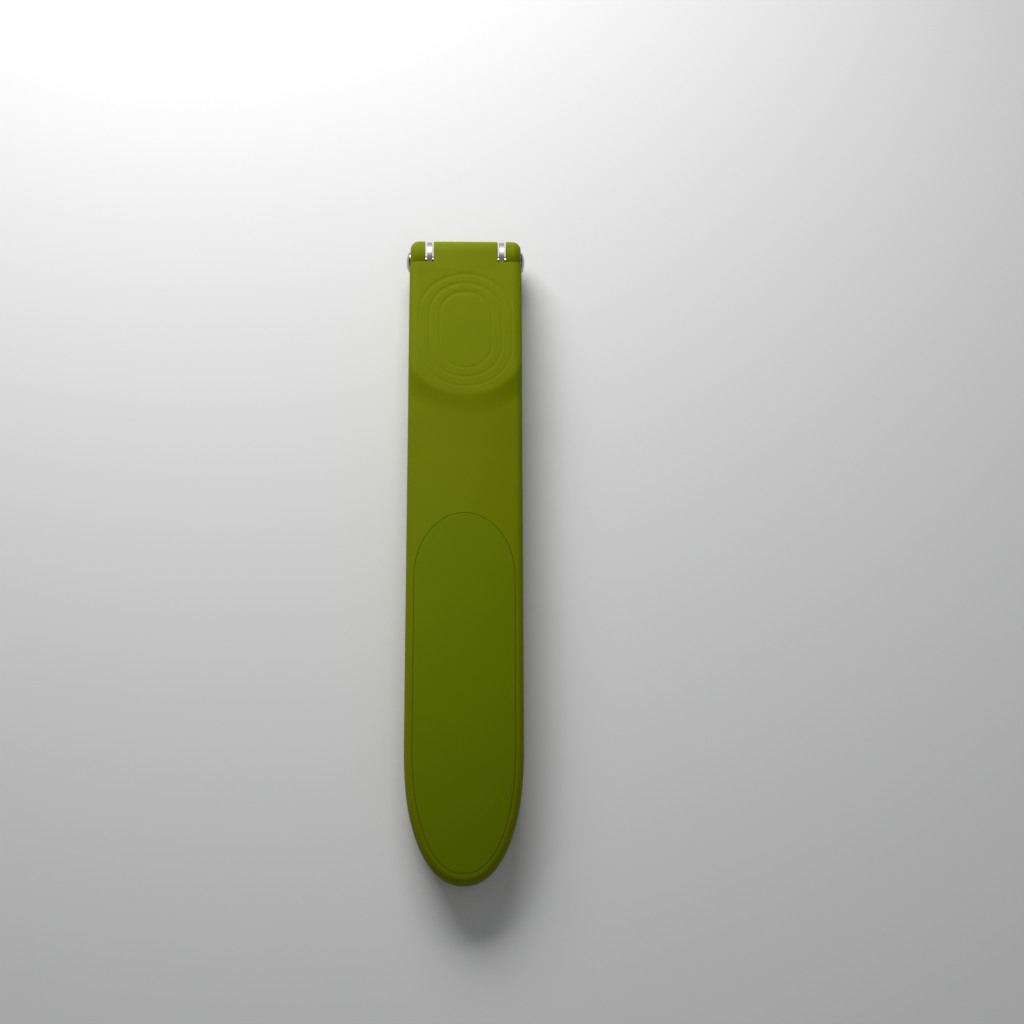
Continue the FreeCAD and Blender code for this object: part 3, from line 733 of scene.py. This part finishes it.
def rear_handle(sizes):
    """Rear handle with its hinge ears, basket frame, ribbed inside and pocket for the grip."""
    back = back_surface(LOWER_BACK)

    def inside(x, reach):
        return lower_parting(reach) - (BODY_DROP if reach < FRAME_END - FRAME_CORNER / 2 else 0)
    shape = {
        "outside": back, "inside": inside, "outward": -1,
        "edge": lambda reach: (sizes.edge_round, sizes.edge_round), "inner_edge": sizes.inner_round,
        "across": 24, "inner_across": 6, "near_fan": 0.0, "tip_fan": HANDLE_FAN,
    }
    outline = handle_outline(FRAME_END - FRAME_CORNER, FRAME_HALF_WIDTH - BODY_SETBACK,
                             section_reaches(REAR_SECTIONS), REAR_TIP_REACH)
    handle = moulded_shell("rear_handle", outline, shape)
    for part in (frame_end(), ear_and_wall(-1), ear_and_wall(1)):
        combine(handle, part, "UNION")
    cuts = bmesh.new()
    core_cells(cuts, back, GRIP_PARTING - HANDLE_GAP, -1, REAR_TIP_REACH)
    rod(cuts, KNUCKLE_RADIUS + SWING_GAP, -EAR_CUT, EAR_CUT, 96)
    combine(handle, as_object("cuts", cuts), "DIFFERENCE")
    window = bmesh.new()
    rounded_prism(window, WINDOW_HALF_WIDTH, -2 * KNUCKLE_RADIUS, WINDOW_FAR, WINDOW_CORNER,
                  lambda reach: -2 * PIN.z, lambda reach: 2 * PIN.z)
    combine(handle, as_object("window", window), "DIFFERENCE")
    rebate = bmesh.new()
    rounded_prism(rebate, WINDOW_HALF_WIDTH + REBATE, REBATE_NEAR, WINDOW_FAR + REBATE, REBATE_CORNER,
                  lambda reach: frame_top(reach) - REBATE_DEPTH, lambda reach: 2 * PIN.z)
    combine(handle, as_object("rebate", rebate), "DIFFERENCE")
    pocket = moulded_shell("pocket", grip_outline(REAR_GRIP_TIP, sizes.grip_gap), pocket_shape(back, -1))
    combine(handle, pocket, "DIFFERENCE")
    hole = bmesh.new()
    rod(hole, PIN_RADIUS + PRESS_FIT, -HEAD_HALF_WIDTH, HEAD_HALF_WIDTH)
    combine(handle, as_object("hole", hole), "DIFFERENCE")
    return handle


# Grips

def grip(name, stations, outward, tip, sizes):
    """Inset grip: a thin crowned panel with a softly rounded edge."""
    back = back_surface(stations)
    shape = {
        "outside": back,
        "inside": lambda x, reach: back(x, reach) - outward * (GRIP_THICK - GRIP_FLOOR_GAP),
        "outward": outward, "edge": lambda reach: (sizes.grip_round, sizes.grip_round),
        "inner_edge": GRIP_INNER_ROUND,
        "across": 18, "inner_across": 8, "near_fan": GRIP_FAN, "tip_fan": GRIP_FAN,
    }
    return moulded_shell(name, grip_outline(tip), shape)


# Rivets

def rivet_dome(name, side):
    """Polished domed head on one end of the pin, turned as a profile round its axis."""
    radius = HEAD_CAP_HIGH.z - PIN.z
    bore_radius = PIN_RADIUS + PRESS_FIT
    base = HEAD_CAP_BASE
    top = HEAD_CAP_HIGH.x
    rise = top - base - DOME_RIM
    profile = [(base, bore_radius), (base, radius - DOME_CHAMFER), (base + DOME_CHAMFER_RISE, radius)]
    for angle in quarter_turn(DOME_STEPS)[:-1]:
        profile.append((base + DOME_RIM + rise * math.sin(angle), radius * math.cos(angle)))
    shape = bmesh.new()
    rings = [new_ring(shape, circle(side * x, distance, DOME_SEGMENTS)) for x, distance in profile]
    for one, two in zip(rings, rings[1:]):
        band(shape, one, two)
    tip = shape.verts.new(place(side * top, 0, 0))
    last = rings[-1]
    for i in range(DOME_SEGMENTS):
        shape.faces.new((last[i], last[(i + 1) % DOME_SEGMENTS], tip))
    bore = new_ring(shape, circle(side * (base + DOME_BORE), bore_radius, DOME_SEGMENTS))
    band(shape, rings[0], bore)
    shape.faces.new(bore)
    return as_object(name, shape)


# Materials

def blank_material(name):
    """Material with a principled shader, and the shader itself."""
    material = bpy.data.materials.new(name)
    material.use_nodes = True
    tree = material.node_tree
    tree.nodes.clear()
    shader = tree.nodes.new("ShaderNodeBsdfPrincipled")
    output = tree.nodes.new("ShaderNodeOutputMaterial")
    tree.links.new(shader.outputs["BSDF"], output.inputs["Surface"])
    return material, tree, shader


def noise(tree, scale, detail, stretch=(1, 1, 1)):
    """Noise texture that lies still on the piece, stretched along the axes."""
    where = tree.nodes.new("ShaderNodeTexCoord")
    mapping = tree.nodes.new("ShaderNodeMapping")
    mapping.inputs["Scale"].default_value = stretch
    texture = tree.nodes.new("ShaderNodeTexNoise")
    texture.inputs["Scale"].default_value = scale
    texture.inputs["Detail"].default_value = detail
    tree.links.new(where.outputs["Object"], mapping.inputs["Vector"])
    tree.links.new(mapping.outputs["Vector"], texture.inputs["Vector"])
    return texture


def ranged(tree, source, low, high):
    """Source from 0 to 1 turned into a range."""
    ranges = tree.nodes.new("ShaderNodeMapRange")
    ranges.inputs["To Min"].default_value = low
    ranges.inputs["To Max"].default_value = high
    tree.links.new(source, ranges.inputs["Value"])
    return ranges.outputs["Result"]


def mixed(tree, factor, one, two):
    """Colour between two colours, which are sockets or plain values."""
    mix = tree.nodes.new("ShaderNodeMix")
    mix.data_type = "RGBA"
    tree.links.new(factor, mix.inputs["Factor"])
    for index, colour in ((6, one), (7, two)):
        if isinstance(colour, bpy.types.NodeSocket):
            tree.links.new(colour, mix.inputs[index])
        else:
            mix.inputs[index].default_value = (*colour, 1)
    return mix.outputs[2]


def bump(tree, height, distance, strength, under):
    """Bump from a height, on top of another bump."""
    made = tree.nodes.new("ShaderNodeBump")
    made.inputs["Distance"].default_value = distance
    made.inputs["Strength"].default_value = strength
    tree.links.new(height, made.inputs["Height"])
    tree.links.new(under, made.inputs["Normal"])
    return made.outputs["Normal"]


def scaled(colour, factor):
    """Colour made lighter or darker."""
    return tuple(min(1.0, channel * factor) for channel in colour)


def soft_edges(tree, radius):
    """Surface direction with the crisp edges slightly rounded."""
    softened = tree.nodes.new("ShaderNodeBevel")
    softened.samples = 4
    softened.inputs["Radius"].default_value = radius
    return softened.outputs["Normal"]


def edge_highlight_and_wear(tree, softened):
    """Share from 0 to 1 that picks out the crisp edges for their painted highlight, broken up by noise."""
    geometry = tree.nodes.new("ShaderNodeNewGeometry")
    match = tree.nodes.new("ShaderNodeVectorMath")
    match.operation = "DOT_PRODUCT"
    tree.links.new(softened, match.inputs[0])
    tree.links.new(geometry.outputs["Normal"], match.inputs[1])
    found = tree.nodes.new("ShaderNodeMapRange")
    found.inputs["From Min"].default_value = 0.99
    found.inputs["From Max"].default_value = 0.8
    tree.links.new(match.outputs["Value"], found.inputs["Value"])
    patches = noise(tree, scale=500, detail=4)
    share = tree.nodes.new("ShaderNodeMath")
    share.operation = "MULTIPLY"
    tree.links.new(found.outputs["Result"], share.inputs[0])
    tree.links.new(ranged(tree, patches.outputs["Fac"], low=-0.1, high=0.9), share.inputs[1])
    return share.outputs["Value"]


def moulded_nylon(name, colour, roughness, grain):
    """Satin moulded nylon: cloudy colour, fine eroded grain and a painted highlight that makes the crisp
    edges a little lighter, broken up like rubbed wear.
    """
    material, tree, shader = blank_material(name)
    clouds = noise(tree, scale=60, detail=4)
    # The crisp edges get a painted highlight: a lighter colour, broken up by noise.
    dark, light, edge_highlight_colour = (scaled(colour, factor) for factor in (0.93, 1.06, 1.3))
    cloudy = mixed(tree, ranged(tree, clouds.outputs["Fac"], low=0.1, high=0.9), dark, light)
    softened = soft_edges(tree, radius=0.2 * MM)
    with_edge_highlight = mixed(tree, edge_highlight_and_wear(tree, softened), cloudy, edge_highlight_colour)
    tree.links.new(with_edge_highlight, shader.inputs["Base Color"])
    patches = noise(tree, scale=350, detail=5)
    spread = 0.06
    tree.links.new(ranged(tree, patches.outputs["Fac"], roughness - spread, roughness + spread),
                   shader.inputs["Roughness"])
    shader.inputs["Specular IOR Level"].default_value = 0.06
    shader.inputs["Specular Tint"].default_value = (0.9, 1.0, 0.3, 1)
    fine = noise(tree, scale=2600, detail=3)
    soft = noise(tree, scale=140, detail=2)
    rolling = bump(tree, soft.outputs["Fac"], distance=0.1 * MM, strength=0.12, under=softened)
    grained = bump(tree, fine.outputs["Fac"], distance=0.03 * MM, strength=grain, under=rolling)
    tree.links.new(grained, shader.inputs["Normal"])
    return material


def bare_steel(name, colour, roughness, brushed):
    """Stainless steel with cloudy patches, a painted highlight on its crisp edges, and drawn streaks across
    the press where it is brushed.
    """
    material, tree, shader = blank_material(name)
    shader.inputs["Metallic"].default_value = 1.0
    streaks = noise(tree, scale=1500, detail=4, stretch=(0.04, 1, 1) if brushed else (1, 1, 1))
    clouds = noise(tree, scale=90, detail=3)
    # The crisp edges get a painted highlight: a lighter colour, broken up by noise.
    dark, light, edge_highlight_colour = (scaled(colour, factor) for factor in (0.9, 1.1, 1.35))
    tone = mixed(tree, clouds.outputs["Fac"], dark, light)
    softened = soft_edges(tree, radius=0.15 * MM)
    with_edge_highlight = mixed(tree, edge_highlight_and_wear(tree, softened), tone, edge_highlight_colour)
    tree.links.new(with_edge_highlight, shader.inputs["Base Color"])
    spread = 0.1 if brushed else 0.03
    tree.links.new(ranged(tree, streaks.outputs["Fac"], roughness - spread, roughness + spread),
                   shader.inputs["Roughness"])
    strength = 0.25 if brushed else 0.03
    drawn = bump(tree, streaks.outputs["Fac"], distance=0.02 * MM, strength=strength, under=softened)
    tree.links.new(drawn, shader.inputs["Normal"])
    return material


def finish_for(slot):
    """Material of a slot, made once."""
    finish = bpy.context.scene.press_finish
    name = "press_" + slot
    made = bpy.data.materials.get(name)
    if made:
        return made
    if slot == "green_nylon":
        return moulded_nylon(name, finish.green, finish.nylon_roughness, grain=0.25)
    if slot == "grip_nylon":
        return moulded_nylon(name, finish.grip_green, finish.grip_roughness, grain=0.35)
    if slot == "plunger_nylon":
        return moulded_nylon(name, scaled(finish.green, 0.85), finish.nylon_roughness, grain=0.25)
    if slot == "basket_steel":
        return bare_steel(name, finish.steel, roughness=0.42, brushed=True)
    return bare_steel(name, scaled(finish.steel, 0.95), roughness=0.22, brushed=False)


# Stage

def make_floor(settings):
    """Wide flat floor, very slightly cloudy."""
    shape = bmesh.new()
    half = FLOOR_HALF_WIDTH
    corners = ((-half, -half, 0), (half, -half, 0), (half, half, 0), (-half, half, 0))
    shape.faces.new(new_ring(shape, corners))
    floor = as_object("floor", shape)
    material, tree, shader = blank_material("studio_floor")
    clouds = noise(tree, scale=6, detail=3)
    dark, light = (scaled(settings.floor_colour, factor) for factor in (0.99, 1.01))
    tree.links.new(mixed(tree, clouds.outputs["Fac"], dark, light), shader.inputs["Base Color"])
    shader.inputs["Roughness"].default_value = 0.7
    floor.data.materials.append(material)


def make_light(name, location, target, size, power):
    """Rectangular softbox that faces a point."""
    data = bpy.data.lights.new(name, "AREA")
    data.shape = "RECTANGLE"
    data.size, data.size_y = size
    data.energy = power
    data.spread = math.radians(120)
    light = bpy.data.objects.new(name, data)
    light.location = location
    light.rotation_mode = "QUATERNION"
    light.rotation_quaternion = (Vector(target) - Vector(location)).to_track_quat("-Z", "Y")
    bpy.context.scene.collection.objects.link(light)


def make_camera(settings):
    """Camera that looks down on the press from the tip's side."""
    azimuth = settings.azimuth
    elevation = settings.elevation
    back = Vector((math.sin(azimuth) * math.cos(elevation), -math.cos(azimuth) * math.cos(elevation),
                   math.sin(elevation)))
    right = Vector((math.cos(azimuth), math.sin(azimuth), 0))
    up = back.cross(right)
    turned_right = math.cos(settings.roll) * right + math.sin(settings.roll) * up
    turned_up = math.cos(settings.roll) * up - math.sin(settings.roll) * right
    data = bpy.data.cameras.new("camera")
    data.lens = settings.lens
    data.sensor_width = 36
    camera = bpy.data.objects.new("camera", data)
    bpy.context.scene.collection.objects.link(camera)
    turn = Matrix((turned_right, turned_up, back)).transposed()
    camera.matrix_world = Matrix.Translation(Vector(settings.aim) + back * settings.distance) @ turn.to_4x4()
    bpy.context.scene.camera = camera


def make_view(scene):
    """Plain colour transform, so that the finishes keep their full colour."""
    scene.view_settings.view_transform = "Standard"


def make_world(settings):
    """Even pale light from all round."""
    world = bpy.data.worlds.new("studio")
    world.use_nodes = True
    background = world.node_tree.nodes["Background"]
    background.inputs["Color"].default_value = (0.95, 0.97, 1, 1)
    background.inputs["Strength"].default_value = settings.ambient
    bpy.context.scene.world = world


# Operators

class PRESS_OT_stage(bpy.types.Operator):
    """Makes the floor, the lights and the camera"""
    bl_idname = "press.stage"
    bl_label = "Stage"

    def execute(self, context):
        settings = context.scene.press_stage
        make_floor(settings)
        make_world(settings)
        make_view(context.scene)
        make_light("key", location=(-0.12, 0.42, 0.28), target=(0, 0.05, 0), size=(0.4, 0.25),
                   power=settings.key_power)
        make_light("fill", location=(0.25, -0.5, 1.0), target=(0, 0, 0), size=(0.8, 0.8),
                   power=settings.fill_power)
        make_camera(settings)
        return {"FINISHED"}


class PRESS_OT_front_handle(bpy.types.Operator):
    """Moulds the front handle with its ringed head"""
    bl_idname = "press.front_handle"
    bl_label = "Front handle"

    def execute(self, context):
        handle = front_handle(context.scene.press_sizes)
        finish_piece(handle, finish_for("green_nylon"), "upper", ["upper_handle"])
        return {"FINISHED"}


class PRESS_OT_rear_handle(bpy.types.Operator):
    """Moulds the rear handle with its basket frame and hinge ears"""
    bl_idname = "press.rear_handle"
    bl_label = "Rear handle"

    def execute(self, context):
        handle = rear_handle(context.scene.press_sizes)
        finish_piece(handle, finish_for("green_nylon"), "lower", ["lower_handle"])
        return {"FINISHED"}


class PRESS_OT_grips(bpy.types.Operator):
    """Moulds the two inset grips"""
    bl_idname = "press.grips"
    bl_label = "Grips"

    def execute(self, context):
        sizes = context.scene.press_sizes
        front = grip("front_grip", UPPER_BACK, 1, GRIP_TIP, sizes)
        finish_piece(front, finish_for("grip_nylon"), "upper", ["upper_grip"])
        rear = grip("rear_grip", LOWER_BACK, -1, REAR_GRIP_TIP, sizes)
        finish_piece(rear, finish_for("grip_nylon"), "lower", ["lower_grip"])
        return {"FINISHED"}


class PRESS_OT_basket(bpy.types.Operator):
    """Finishes the steel basket and the plunger that fills it"""
    bl_idname = "press.basket"
    bl_label = "Basket and plunger"

    def execute(self, context):
        paint("basket", finish_for("basket_steel"))
        paint("plunger", finish_for("plunger_nylon"))
        return {"FINISHED"}


class PRESS_OT_rivets(bpy.types.Operator):
    """Turns the two domed rivet heads and finishes the hinge pin"""
    bl_idname = "press.rivets"
    bl_label = "Hinge pin and rivets"

    def execute(self, context):
        steel = finish_for("rivet_steel")
        for name, side in (("left", -1), ("right", 1)):
            dome = rivet_dome(name + "_rivet_dome", side)
            finish_piece(dome, steel, "lower", [name + "_rivet_head"])
        paint("hinge_pin", steel)
        return {"FINISHED"}


class PRESS_PT_panel(bpy.types.Panel):
    """Sizes, finishes and stage of the press, and the steps that build it"""
    bl_label = "Garlic press"
    bl_idname = "PRESS_PT_panel"
    bl_space_type = "VIEW_3D"
    bl_region_type = "UI"
    bl_category = "Press"

    def draw(self, context):
        for group in (context.scene.press_sizes, context.scene.press_finish, context.scene.press_stage):
            box = self.layout.box()
            for name in group.bl_rna.properties.keys():
                if name not in ("rna_type", "name"):
                    box.prop(group, name)
        for step in STEPS:
            self.layout.operator(step.bl_idname)


STEPS = (PRESS_OT_stage, PRESS_OT_front_handle, PRESS_OT_rear_handle, PRESS_OT_grips, PRESS_OT_basket,
         PRESS_OT_rivets)
CLASSES = (PressSizes, PressFinish, PressStage, *STEPS, PRESS_PT_panel)


def register():
    """Registers the classes and the settings on the scene."""
    for item in CLASSES:
        bpy.utils.register_class(item)
    bpy.types.Scene.press_sizes = PointerProperty(type=PressSizes)
    bpy.types.Scene.press_finish = PointerProperty(type=PressFinish)
    bpy.types.Scene.press_stage = PointerProperty(type=PressStage)


def unregister():
    """Takes the settings and the classes away again."""
    for name in ("press_stage", "press_finish", "press_sizes"):
        delattr(bpy.types.Scene, name)
    for item in reversed(CLASSES):
        bpy.utils.unregister_class(item)


def write_sizes():
    """Brings the scene up to date."""
    bpy.context.view_layer.update()


def main():
    """Builds every piece in order."""
    register()
    bpy.ops.press.stage()
    bpy.ops.press.front_handle()
    bpy.ops.press.rear_handle()
    bpy.ops.press.grips()
    bpy.ops.press.basket()
    bpy.ops.press.rivets()
    write_sizes()


if __name__ == "__main__":
    main()
